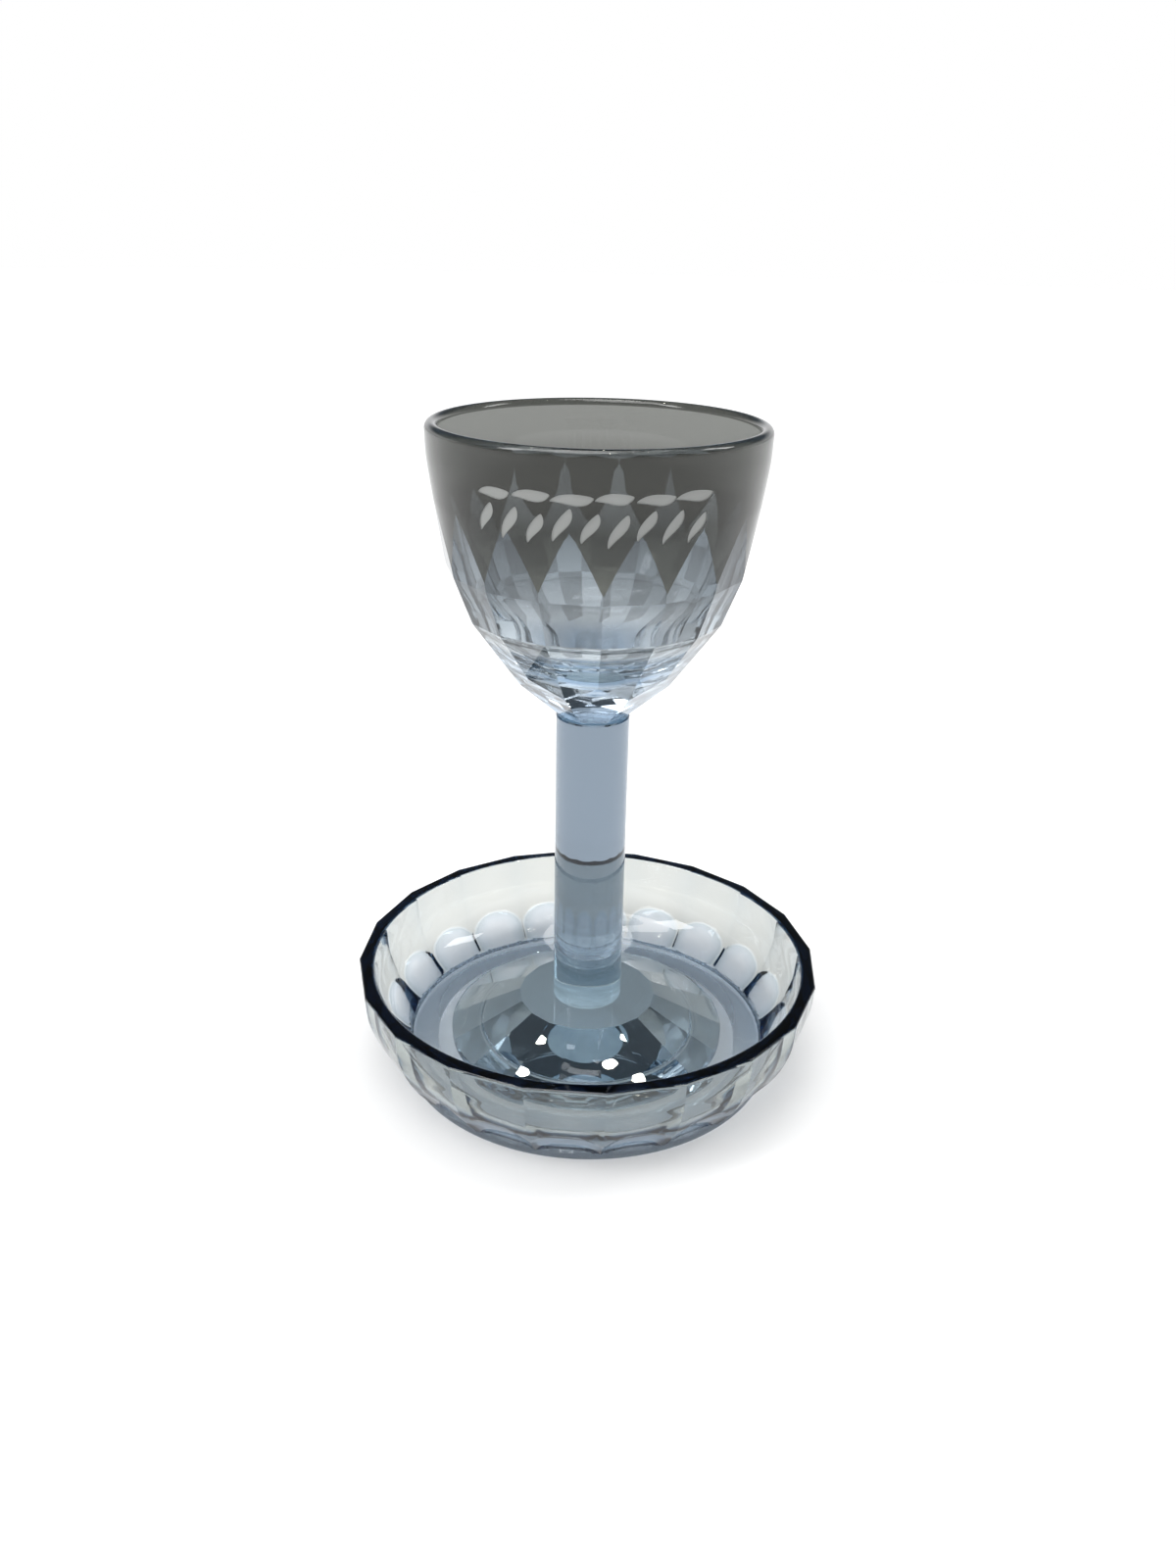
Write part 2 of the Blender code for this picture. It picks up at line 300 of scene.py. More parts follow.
def turn(bm, outline, steps):
    """Turns an outline of (radius, height) points about Z into smooth faces."""
    verts = [bm.verts.new((radius, 0.0, height)) for radius, height in outline]
    edges = [bm.edges.new(pair) for pair in zip(verts, verts[1:])]
    bmesh.ops.spin(bm, geom=verts + edges, cent=(0.0, 0.0, 0.0), axis=(0.0, 0.0, 1.0),
                   angle=tau, steps=steps, use_merge=True)
    bmesh.ops.remove_doubles(bm, verts=bm.verts, dist=MERGE_DISTANCE)
    bmesh.ops.recalc_face_normals(bm, faces=bm.faces)
    for face in bm.faces:
        face.smooth = True


def grind(bm, point, normal):
    """Takes off what lies beyond the plane and closes the cut with one flat facet."""
    geometry = bm.verts[:] + bm.edges[:] + bm.faces[:]
    cut = bmesh.ops.bisect_plane(bm, geom=geometry, dist=MERGE_DISTANCE, plane_co=point,
                                 plane_no=normal, clear_outer=True)
    edges = [item for item in cut["geom_cut"] if isinstance(item, bmesh.types.BMEdge)]
    if edges:
        facet = bmesh.ops.contextual_create(bm, geom=edges)["faces"][0]
        facet.smooth = False


def grind_ring(bm, count, first, low, high):
    """Grinds a ring of facets whose middle lines pass through two (radius, height) points."""
    lean = (high[1] - low[1], low[0] - high[0])
    for index in range(count):
        angle = first + tau * index / count
        normal = Vector((cos(angle) * lean[0], sin(angle) * lean[0], lean[1])).normalized()
        grind(bm, Vector((cos(angle) * low[0], sin(angle) * low[0], low[1])), normal)


def open_flat(bm, height):
    """Removes the level faces at a height."""
    level = [face for face in bm.faces
             if abs(face.normal.z) > LEVEL_NORMAL
             and abs(face.calc_center_median().z - height) < SAME_HEIGHT]
    bmesh.ops.delete(bm, geom=level, context='FACES')


def mark_creases(bm, limit):
    """Sharpens the borders of flat facets and every edge that turns by more than the limit."""
    for edge in bm.edges:
        smooth = all(face.smooth for face in edge.link_faces)
        edge.smooth = smooth and edge.calc_face_angle(0.0) < limit


def add_piece(name, bm, material, *nodes, slot):
    """Makes the finished mesh a piece of the object, which stands for the CAD nodes it names."""
    mesh = bpy.data.meshes.new(name)
    bm.to_mesh(mesh)
    bm.free()
    mesh.materials.append(material)
    piece = bpy.data.objects.new(name, mesh)
    bpy.context.scene.collection.objects.link(piece)
    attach(piece, "root")
    if nodes:
        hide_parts(*nodes)
    return piece


GLASS_IOR = 1.5
MATT_ROUGHNESS = 0.6
HAZE_SCALE = 60.0
HAZE_SPREAD = (0.55, 0.75)
HAZE_ROUGHNESS = 0.03


def clear_glass(name, tint, depth_colour, depth_strength, frosted=None, matt_below=0.0):
    """Polished glass: a tinted surface, and a plain absorption that deepens with thickness.

    Below a height the glass is ground matt, as the ring is that a saucer stands on.
    """
    material = bpy.data.materials.new(name)
    material.use_nodes = True
    make = NodeMaker(material.node_tree)
    marks = smudges(make)
    if matt_below:
        place = make.node('ShaderNodeTexCoord', {}, {}, "Object")
        height = make.node('ShaderNodeSeparateXYZ', {}, {0: place}, 2)
        marks = marks + make.node('ShaderNodeMapRange', {}, {
            0: height, 1: matt_below, 2: 2 * matt_below, 3: MATT_ROUGHNESS, 4: 0.0})
    glass = make.node('ShaderNodeBsdfPrincipled', {}, {
        "Base Color": tint(make), "Roughness": marks, "IOR": GLASS_IOR,
        "Transmission Weight": 1.0})
    if frosted is not None:
        mask, shader = frosted(make)
        glass = make.node('ShaderNodeMixShader', {}, {0: mask, 1: glass, 2: shader})
    depth = make.node('ShaderNodeVolumeAbsorption', {}, {
        "Color": (*depth_colour, 1.0), "Density": depth_strength})
    make.node('ShaderNodeOutputMaterial', {}, {"Surface": glass, "Volume": depth})
    return material


def smudges(make):
    """Roughness of polished glass, with a faint haze where fingers and cloths have been."""
    place = make.node('ShaderNodeTexCoord', {}, {}, "Object")
    haze = make.node('ShaderNodeTexNoise', {}, {
        "Vector": place, "Scale": HAZE_SCALE, "Detail": 3.0})
    return make.node('ShaderNodeMapRange', {}, {
        0: haze, 1: HAZE_SPREAD[0], 2: HAZE_SPREAD[1], 3: 0.0, 4: HAZE_ROUGHNESS})


PANEL_TURN = radians(4.5)
RING_RADIUS = 44.4 * MM
RING_HEIGHT = 2.3 * MM
RING_WIDTH = 6.0 * MM
RING_ROUNDING = 0.9 * MM
RECESS_DEPTH = 0.8 * MM
FLOOR_RADIUS = 36.0 * MM
FLOOR_Z = 3.8 * MM
SHOULDER = (0.9 * MM, 8.1 * MM)
WAIST = (3.9 * MM, 15.6 * MM)
LOWER_WALL = 4.6 * MM
RIM_ROUNDING = 0.6 * MM
RIM_BELOW = 0.4 * RIM_ROUNDING
RIM_INSET = 0.9 * RIM_ROUNDING
INSIDE_STEPS = 10
OUTSIDE_STEPS = 24
ROUNDING_STEPS = 6
PETAL_HEIGHT = 9.0 * MM
PETAL_SHOULDER = 0.35
PETAL_EDGE = 0.5
RECESS_SLOPE = 6.0 * MM
MATT_HEIGHT = 0.1 * MM
PANEL_COLUMNS = 24
WAVE_HEIGHT = 0.13 * MM
WAVE_SCALE = 130.0
WAVE_FADE = 2.0 * MM
SAUCER_CREASE = radians(16)
FLOOR_TINT_TOP = 1.6 * FLOOR_Z
# Painted light and shade on the petals: a light outline, then lighter colours up to white glints.
PETAL_PAINTED_OUTLINE = (0.90, 0.89, 0.82)
PETAL_PAINTED_LIGHT = (0.84, 0.88, 0.90)
PETAL_GLINT_SCALE = 190.0
PETAL_GLINT_RANGE = (0.25, 1.5)


def saucer_outline(size):
    """Outline of the saucer from the middle of its floor over the rim to the underside."""
    radius, height = size.radius, size.height
    low = height - RIM_ROUNDING
    inside = smooth_curve([
        (radius - size.wall, low), (radius - SHOULDER[0] - size.wall, height - SHOULDER[1]),
        (radius - WAIST[0] - LOWER_WALL, height - WAIST[1]), (FLOOR_RADIUS, FLOOR_Z)],
        INSIDE_STEPS)
    outside = smooth_curve([
        (radius, low), (radius - SHOULDER[0], height - SHOULDER[1]),
        (radius - WAIST[0], height - WAIST[1]),
        (RING_RADIUS + RING_ROUNDING, RING_HEIGHT + RING_ROUNDING / 4)], OUTSIDE_STEPS)
    rounding = (RIM_ROUNDING, RIM_ROUNDING)
    ring_inner = RING_RADIUS - RING_WIDTH
    outline = [(0.0, FLOOR_Z), (FLOOR_RADIUS / 2, FLOOR_Z)]
    outline += inside[::-1]
    outline += arc((radius - size.wall + RIM_ROUNDING, low), rounding, pi, pi / 2,
                   ROUNDING_STEPS)[1:]
    outline += arc((radius - RIM_ROUNDING, low), rounding, pi / 2, 0.0, ROUNDING_STEPS)
    outline += outside[1:]
    outline += [(RING_RADIUS, RING_HEIGHT - RING_ROUNDING / 4)]
    outline += arc((RING_RADIUS - RING_ROUNDING, RING_ROUNDING), (RING_ROUNDING, RING_ROUNDING),
                   0.0, -pi / 2, ROUNDING_STEPS)
    outline += [(ring_inner, 0.0), (ring_inner - RECESS_SLOPE, RECESS_DEPTH), (0.0, RECESS_DEPTH)]
    return outline


def press_panels(bm, size):
    """Turns the round outer wall into flat panels, each with a petal pressed into its lower end.

    The layers tell the petals, the outside and the rim apart, for the painted light and shade that
    the glass's colour gives them.
    """
    bm.normal_update()
    petal = bm.verts.layers.float.new("petal")
    outer = bm.verts.layers.float.new("outer")
    rim = bm.verts.layers.float.new("rim")
    half = pi / size.panels
    for vert in bm.verts:
        radius, height = vert.co.xy.length, vert.co.z
        level = height > size.height - RIM_BELOW
        vert[rim] = float(level and radius > size.radius - size.wall + RIM_INSET)
        if height > RING_HEIGHT and vert.normal.xy.dot(vert.co.xy) > 0.0:
            offset = atan2(vert.co.y, vert.co.x) % (2 * half) - half
            up = (height - RING_HEIGHT) / PETAL_HEIGHT
            up = max(0.0, (up - PETAL_SHOULDER) / (1.0 - PETAL_SHOULDER))
            vert[outer] = 1.0
            vert[petal] = max(0.0, 1.0 - (offset / half) ** 2 - up ** 2)
            fade = min(1.0, (size.height - height) / WAVE_FADE)
            wave = WAVE_HEIGHT * fade * noise.noise(vert.co * WAVE_SCALE)
            flat = radius * cos(half) / cos(offset) + wave
            vert.co.xy *= (flat - size.petal_depth * vert[petal] ** PETAL_EDGE) / radius


class KIDDUSH_OT_saucer(bpy.types.Operator):
    """Models the saucer: flat panels and petals outside, smooth inside, on a round foot ring"""
    bl_idname = "kiddush.saucer"
    bl_label = "Saucer"

    def execute(self, context):
        size = context.scene.kiddush_saucer
        bm = bmesh.new()
        turn(bm, saucer_outline(size), size.panels * PANEL_COLUMNS)
        press_panels(bm, size)
        bmesh.ops.rotate(bm, verts=bm.verts, cent=(0.0, 0.0, 0.0),
                         matrix=Matrix.Rotation(PANEL_TURN, 3, 'Z'))
        mark_creases(bm, SAUCER_CREASE)

        def tint(make):
            place = make.node('ShaderNodeTexCoord', {}, {}, "Object")
            height = make.node('ShaderNodeSeparateXYZ', {}, {0: place}, 2) / size.height
            inside = make.node('ShaderNodeValToRGB', {"stops": [
                (0.0, size.base_tint), (FLOOR_Z / size.height, size.base_tint),
                (FLOOR_TINT_TOP / size.height, WHITE)]}, {0: height})
            # Painted glints: noise lifts patches of each petal towards white, after a light outline
            # and a darker bed.
            painted_glints = make.node('ShaderNodeTexNoise', {}, {
                "Vector": place, "Scale": PETAL_GLINT_SCALE})
            rise = make.attribute("petal") * (PETAL_GLINT_RANGE[0] + PETAL_GLINT_RANGE[1] * painted_glints)
            petals = make.node('ShaderNodeValToRGB', {"stops": [
                (0.0, size.tint), (0.05, PETAL_PAINTED_OUTLINE), (0.16, size.petal_painted_shade),
                (0.45, PETAL_PAINTED_LIGHT), (0.8, WHITE)]}, {0: rise})
            colour = make.mix_colour(make.attribute("outer"), inside, petals)
            # Painted shade: the rim is mixed to its nearly black colour.
            return make.mix_colour(make.attribute("rim"), colour, (*size.rim_painted_shade, 1.0))

        material = clear_glass("Saucer_Glass", tint, size.depth_colour, size.depth_strength,
                               matt_below=MATT_HEIGHT)
        add_piece("Saucer", bm, material, "saucer", slot="saucer_glass")
        return {'FINISHED'}


FOOT_TURN = radians(17.6)
FOOT_EDGE = 2.2 * MM
FOOT_CHAMFER = 0.4 * MM
GROOVE_RADIUS = 24.5 * MM
GROOVE_WIDTH = 1.2 * MM
GROOVE_DEPTH = 0.15 * MM
GROOVE_STEPS = 8
TABLE_RADIUS = 16.2 * MM
JOINT_GROOVE = 0.35 * MM
FACET_TURN = radians(2.5)
SEAT_LEDGE = 1.4 * MM
LOWER_ROW = (18.8 * MM, 98.0 * MM)
MIDDLE_ROW = (27.1 * MM, 109.8 * MM)
UPPER_ROW = (30.8 * MM, 119.6 * MM)
ARCHES = (33.6 * MM, 134.0 * MM)
CUSP_HEIGHT = 1.9 * MM
ARCH_POINT = 1.8
BAND_SHADE_TOP = 141.0 * MM
STEM_LIGHT = 38.0 * MM
BASE_TOP = 89.5 * MM
BAND_TOP = (0.25 * MM, 142.0 * MM)
BAND_WALL = 2.4 * MM
UPPER_WALL = 2.9 * MM
BASE_WALL = 4.2 * MM
CAVITY_Z = 99.5 * MM
GRINDING_MARGIN = 2.5 * MM
FACET_ROUNDING = 0.16 * MM
RINGS_RADIUS = 4.4 * MM
RING_SPACING = 0.62 * MM
RING_DEPTH = 0.05 * MM
CUP_STEPS = 192
STEM_STEPS = 96
HOLLOW_STEPS = 10
HOLLOW_FLOOR_STEPS = 40
STEPS_PER_RING = 8
BAND_STEPS = 8
CUSP_STEPS = 20
LIP_STEPS = 20
CUP_CREASE = radians(25)
CHECKER_PAINTED_SHADE = 0.3
TONE_SPREAD = 0.2
TONE_SCALE = 300.0


def cavity_outline(size):
    """The drinking hollow, from the middle of its floor with the turned rings up to the lip."""
    wall = smooth_curve([
        (size.rim_radius - LIP_WALL, LIP_Z), (ARCHES[0] - BAND_WALL, ARCHES[1]),
        (UPPER_ROW[0] - UPPER_WALL, UPPER_ROW[1]),
        (MIDDLE_ROW[0] - BASE_WALL, MIDDLE_ROW[1])], HOLLOW_STEPS)
    radius, depth = wall[-1][0], MIDDLE_ROW[1] - CAVITY_Z
    floor = arc((0.0, MIDDLE_ROW[1]), (radius, depth), 0.0, -pi / 2, HOLLOW_FLOOR_STEPS)[1:]
    plain = [point for point in floor if point[0] > RINGS_RADIUS]
    rings = []
    count = int(RINGS_RADIUS / RING_SPACING * STEPS_PER_RING)
    for step in range(count, -1, -1):
        r = RINGS_RADIUS * step / count
        bed = MIDDLE_ROW[1] - depth * sqrt(1.0 - (r / radius) ** 2)
        fade = 1.0 - (r / RINGS_RADIUS) ** 4
        rings.append((r, bed + RING_DEPTH * fade * cos(tau * r / RING_SPACING)))
    return (wall + plain + rings)[::-1]


def band_outline(size):
    """Outside of the plain band. It leaves the facets slowly, so the arches' sides are straight."""
    slope = (ARCHES[0] - UPPER_ROW[0]) / (ARCHES[1] - UPPER_ROW[1])
    cusp_z = UPPER_ROW[1] + CUSP_HEIGHT
    gap = (UPPER_ROW[0] + slope * CUSP_HEIGHT) * (1.0 / cos(pi / size.facets) - 1.0)
    upper = smooth_curve([(size.rim_radius, LIP_Z),
                          (size.rim_radius - BAND_TOP[0], BAND_TOP[1]), ARCHES], BAND_STEPS)
    lower = []
    for step in range(1, CUSP_STEPS + 1):
        t = step / CUSP_STEPS
        z = ARCHES[1] + (cusp_z - ARCHES[1]) * t
        lower.append((UPPER_ROW[0] + slope * (z - UPPER_ROW[1]) + gap * t ** ARCH_POINT, z))
    return upper + lower


def bowl_outline(size):
    """Round blank of the bowl, from the hollow's floor over the rim to the seat on the stem."""
    lip = (size.rim_radius - LIP_WALL / 2, LIP_Z)
    rounding = arc(lip, (LIP_WALL / 2, LIP_WALL / 2), pi, 0.0, LIP_STEPS)
    band = band_outline(size)
    rough = [(MIDDLE_ROW[0] + GRINDING_MARGIN, MIDDLE_ROW[1]),
             (LOWER_ROW[0] + GRINDING_MARGIN, LOWER_ROW[1]),
             (size.stem_radius - SEAT_LEDGE + GRINDING_MARGIN, BOWL_LOW.z)]
    return cavity_outline(size)[:-1] + rounding + band[1:] + rough + [(0.0, BOWL_LOW.z)]


def round_edges(bm):
    """Takes the sharpness off the edges between facets."""
    # The layer marks the rounded faces, which the glass's colour darkens as painted shade.
    border = bm.faces.layers.float.new("border")
    edges = [edge for edge in bm.edges
             if len(edge.link_faces) == 2 and not any(face.smooth for face in edge.link_faces)]
    made = bmesh.ops.bevel(bm, geom=edges, offset=FACET_ROUNDING, offset_type='OFFSET',
                           affect='EDGES', segments=2, profile=0.5, material=-1,
                           clamp_overlap=True)
    for face in made["faces"]:
        face.smooth = True
        face[border] = 1.0


def mark_facets(bm, count):
    """Tells the facets from the smooth glass, and gives each one a painted shade set off its
    neighbours'.
    """
    ground = bm.faces.layers.float.new("ground")
    lining = bm.faces.layers.float.new("lining")
    facet_painted_shade = bm.faces.layers.float.new("facet_painted_shade")
    for face in bm.faces:
        middle = face.calc_center_median()
        column = int((atan2(middle.y, middle.x) % tau) / tau * count)
        row = sum(middle.z > place[1] for place in (LOWER_ROW, MIDDLE_ROW, UPPER_ROW))
        inward = face.normal.xy.dot(middle.xy) < 0.0 or face.normal.z > 0.5
        face[ground] = float(not face.smooth)
        face[lining] = float(face.smooth and inward and middle.z < LIP_Z)
        # Painted shade: neighbouring facets are made darker and lighter in turn, with some noise,
        # standing in for the different things each refracts.
        checker = CHECKER_PAINTED_SHADE if (column + row) % 2 else -CHECKER_PAINTED_SHADE
        face[facet_painted_shade] = 0.5 + checker + TONE_SPREAD * noise.noise(middle * TONE_SCALE)


def bowl(size):
    """Bowl with its rows of facets: three aligned rows, and half as many in the base row."""
    bm = bmesh.new()
    turn(bm, bowl_outline(size), CUP_STEPS)
    middle = pi / size.facets
    seat = (size.stem_radius - SEAT_LEDGE, BOWL_LOW.z)
    grind_ring(bm, size.facets, middle, UPPER_ROW, ARCHES)
    grind_ring(bm, size.facets, middle, MIDDLE_ROW, UPPER_ROW)
    grind_ring(bm, size.facets, middle, LOWER_ROW, MIDDLE_ROW)
    grind_ring(bm, size.facets // 2, 0.0, seat, LOWER_ROW)
    mark_facets(bm, size.facets)
    round_edges(bm)
    bmesh.ops.rotate(bm, verts=bm.verts, cent=(0.0, 0.0, 0.0),
                     matrix=Matrix.Rotation(FACET_TURN, 3, 'Z'))
    return bm


def foot(size):
    """Round disc with a ring of sloping facets around a flat table."""
    bm = bmesh.new()
    table = (TABLE_RADIUS * cos(pi / size.foot_facets), FOOT_HIGH.z)
    outline = [(0.0, FOOT_HIGH.z), (size.foot_radius, FOOT_HIGH.z),
               (size.foot_radius, FOOT_LOW.z + FOOT_CHAMFER),
               (size.foot_radius - FOOT_CHAMFER, FOOT_LOW.z)]
    outline += arc((GROOVE_RADIUS, FOOT_LOW.z), (GROOVE_WIDTH / 2, GROOVE_DEPTH), 0.0, pi,
                   GROOVE_STEPS)
    outline += [(0.0, FOOT_LOW.z)]
    turn(bm, outline, CUP_STEPS)
    grind_ring(bm, size.foot_facets, pi / size.foot_facets,
               (size.foot_radius, FOOT_LOW.z + FOOT_EDGE), table)
    bmesh.ops.rotate(bm, verts=bm.verts, cent=(0.0, 0.0, 0.0),
                     matrix=Matrix.Rotation(FOOT_TURN, 3, 'Z'))
    return bm


def add_mesh(bm, other):
    """Copies one bmesh into another and frees it."""
    mesh = bpy.data.meshes.new("part")
    other.to_mesh(mesh)
    other.free()
    bm.from_mesh(mesh)
    bpy.data.meshes.remove(mesh)


def cup(size):
    """Foot, stem and bowl as one body of glass, as the clear cement leaves them."""
    low, high = FOOT_HIGH.z, BOWL_LOW.z
    groove = JOINT_GROOVE
    top, base = bowl(size), foot(size)
    open_flat(top, high)
    open_flat(base, low)
    bm = bmesh.new()
    turn(bm, [(size.stem_radius - groove, high), (size.stem_radius, high - groove),
              (size.stem_radius, low + groove), (size.stem_radius - groove, low)], STEM_STEPS)
    add_mesh(bm, top)
    add_mesh(bm, base)
    for height in (low, high):
        edges = [edge for edge in bm.edges if edge.is_boundary
                 and all(abs(vert.co.z - height) < SAME_HEIGHT for vert in edge.verts)]
        bmesh.ops.bridge_loops(bm, edges=edges)
    bmesh.ops.recalc_face_normals(bm, faces=bm.faces)
    return bm


def outer_radius(size, angle, height):
    """Radius of the bowl's front at an angle and height, on the band or on an arch's facet."""
    half = pi / size.facets
    offset = (angle - FACET_TURN) % (2 * half) - half
    rise = (height - UPPER_ROW[1]) / (ARCHES[1] - UPPER_ROW[1])
    facet = (UPPER_ROW[0] + rise * (ARCHES[0] - UPPER_ROW[0])) / cos(offset)
    band = band_outline(size)
    for (r0, z0), (r1, z1) in zip(band, band[1:]):
        if z1 <= height <= z0:
            return min(facet, r1 + (r0 - r1) * (height - z1) / (z0 - z1))
    return facet


STROKE_WIDTH = 2.3 * MM
STROKE_BEND = 0.9 * MM
STROKE_LIFT = 0.5 * MM
STROKE_GRID = (16, 4)
LEVEL_STROKES = 6
LEVEL_SLANT = radians(5)
STEEP_STROKES = 9
STEEP_SLANT = radians(60)


def stroke_rows():
    """Strokes as (angle, height, length, slant), in two rows across the bowl's front."""
    level = [(radians(236.0 + 13.0 * index), (140.0 + 0.3 * (index % 2)) * MM,
              (7.2 + 0.5 * (index % 3)) * MM, LEVEL_SLANT) for index in range(LEVEL_STROKES)]
    steep = [(radians(232.0 + 8.9 * index), (135.2 - 0.5 * (index % 3)) * MM,
              (6.4 + 0.8 * (index % 2)) * MM, STEEP_SLANT) for index in range(STEEP_STROKES)]
    return level + steep


def add_stroke(bm, size, stroke):
    """One leaf-shaped stroke as a thin block that reaches from the cut's floor to outside."""
    angle, height, length, slant = stroke
    made = bmesh.ops.create_grid(bm, x_segments=STROKE_GRID[0], y_segments=STROKE_GRID[1],
                                 size=0.5)
    sunk = set(made["verts"])
    faces = [face for face in bm.faces if all(vert in sunk for vert in face.verts)]
    up = bmesh.ops.extrude_face_region(bm, geom=faces)
    raised = {item for item in up["geom"] if isinstance(item, bmesh.types.BMVert)}
    for vert in sunk | raised:
        along, across = vert.co.x * 2, vert.co.y * 2
        swell = 0.12 + 0.88 * (1.0 - along ** 2) ** 0.8 * (1.0 + 0.35 * along) / 1.1
        x = along * length / 2
        y = across * STROKE_WIDTH / 2 * swell + STROKE_BEND * (along ** 3 - along) / 1.5
        z = height + x * sin(slant) + y * cos(slant)
        turned = angle + (x * cos(slant) - y * sin(slant)) / size.rim_radius
        lift = STROKE_LIFT if vert in raised else -size.stroke_depth
        radius = outer_radius(size, turned, z) + lift
        vert.co = (radius * cos(turned), radius * sin(turned), z)


def cut_strokes(piece, size):
    """Cuts the rows of strokes into the bowl's front and marks their faces as frosted."""
    bm = bmesh.new()
    for stroke in stroke_rows():
        add_stroke(bm, size, stroke)
    bmesh.ops.recalc_face_normals(bm, faces=bm.faces)
    frosted = bm.faces.layers.float.new("frosted")
    for face in bm.faces:
        face[frosted] = 1.0
        face.smooth = True
    mesh = bpy.data.meshes.new("strokes")
    bm.to_mesh(mesh)
    bm.free()
    cutter = bpy.data.objects.new("strokes", mesh)
    bpy.context.scene.collection.objects.link(cutter)
    carve = piece.modifiers.new("Strokes", 'BOOLEAN')
    carve.operation = 'DIFFERENCE'
    carve.solver = 'EXACT'
    carve.object = cutter
    bpy.context.view_layer.update()
    graph = bpy.context.evaluated_depsgraph_get()
    carved = bpy.data.meshes.new_from_object(piece.evaluated_get(graph))
    if len(carved.polygons) <= len(piece.data.polygons):
        raise RuntimeError("the strokes were not cut into the bowl")
    piece.modifiers.clear()
    plain = piece.data
    piece.data = carved
    carved.name = piece.name
    bpy.data.meshes.remove(plain)
    bpy.data.objects.remove(cutter, do_unlink=True)
    bpy.data.meshes.remove(mesh)


CEMENT_MARGIN = 0.4 * MM
CEMENT_THICKNESS = 0.1 * MM
CEMENT_STEPS = 64
CEMENT_ROUGHNESS = 0.6
CEMENT_SCALE = 250.0
CEMENT_SPREAD = (0.35, 0.7)
CEMENT_COVER = (0.4, 0.6)
CEMENT_PAINTED_LIGHT = (0.55, 0.72, 0.85, 1.0)
CEMENT_PAINTED_LIGHT_STRENGTH = 0.25


def add_cement(size):
    """Thin clouded films of cement between foot and stem, and between stem and bowl. They give a
    faint painted light, standing in for light that passes through them.
    """
    bm = bmesh.new()
    for height in ((FOOT_HIGH.z + STEM_LOW.z) / 2, (STEM_HIGH.z + BOWL_LOW.z) / 2):
        made = bmesh.ops.create_circle(bm, cap_ends=True, segments=CEMENT_STEPS,
                                       radius=size.stem_radius - CEMENT_MARGIN)
        faces = list({face for vert in made["verts"] for face in vert.link_faces})
        up = bmesh.ops.extrude_face_region(bm, geom=faces)
        raised = [item for item in up["geom"] if isinstance(item, bmesh.types.BMVert)]
        bmesh.ops.translate(bm, verts=raised, vec=(0.0, 0.0, CEMENT_THICKNESS))
        bmesh.ops.translate(bm, verts=made["verts"] + raised, vec=(0.0, 0.0, height))
    bmesh.ops.recalc_face_normals(bm, faces=bm.faces)
    material = bpy.data.materials.new("Cement")
    material.use_nodes = True
    make = NodeMaker(material.node_tree)
    place = make.node('ShaderNodeTexCoord', {}, {}, "Object")
    cloud = make.node('ShaderNodeTexNoise', {}, {
        "Vector": place, "Scale": CEMENT_SCALE, "Detail": 4.0})
    cover = make.node('ShaderNodeMapRange', {}, {
        0: cloud, 1: CEMENT_SPREAD[0], 2: CEMENT_SPREAD[1],
        3: CEMENT_COVER[0], 4: CEMENT_COVER[1]})
    # Painted light: the film's emission stands in for light reaching it through the stem.
    film = make.node('ShaderNodeBsdfPrincipled', {}, {
        "Base Color": (*size.cement, 1.0), "Roughness": CEMENT_ROUGHNESS, "Alpha": cover,
        "Emission Color": CEMENT_PAINTED_LIGHT, "Emission Strength": CEMENT_PAINTED_LIGHT_STRENGTH})
    make.node('ShaderNodeOutputMaterial', {}, {"Surface": film})
    add_piece("Cement", bm, material, slot="stem_glass")


SHADE_RANGE = (1.2, 0.9)
BORDER_PAINTED_SHADE_COVER = 0.7
FROST_COVER = 0.7
FROST_ROUGHNESS = 0.7
FROST_COLOUR = (0.42, 0.43, 0.42, 1.0)


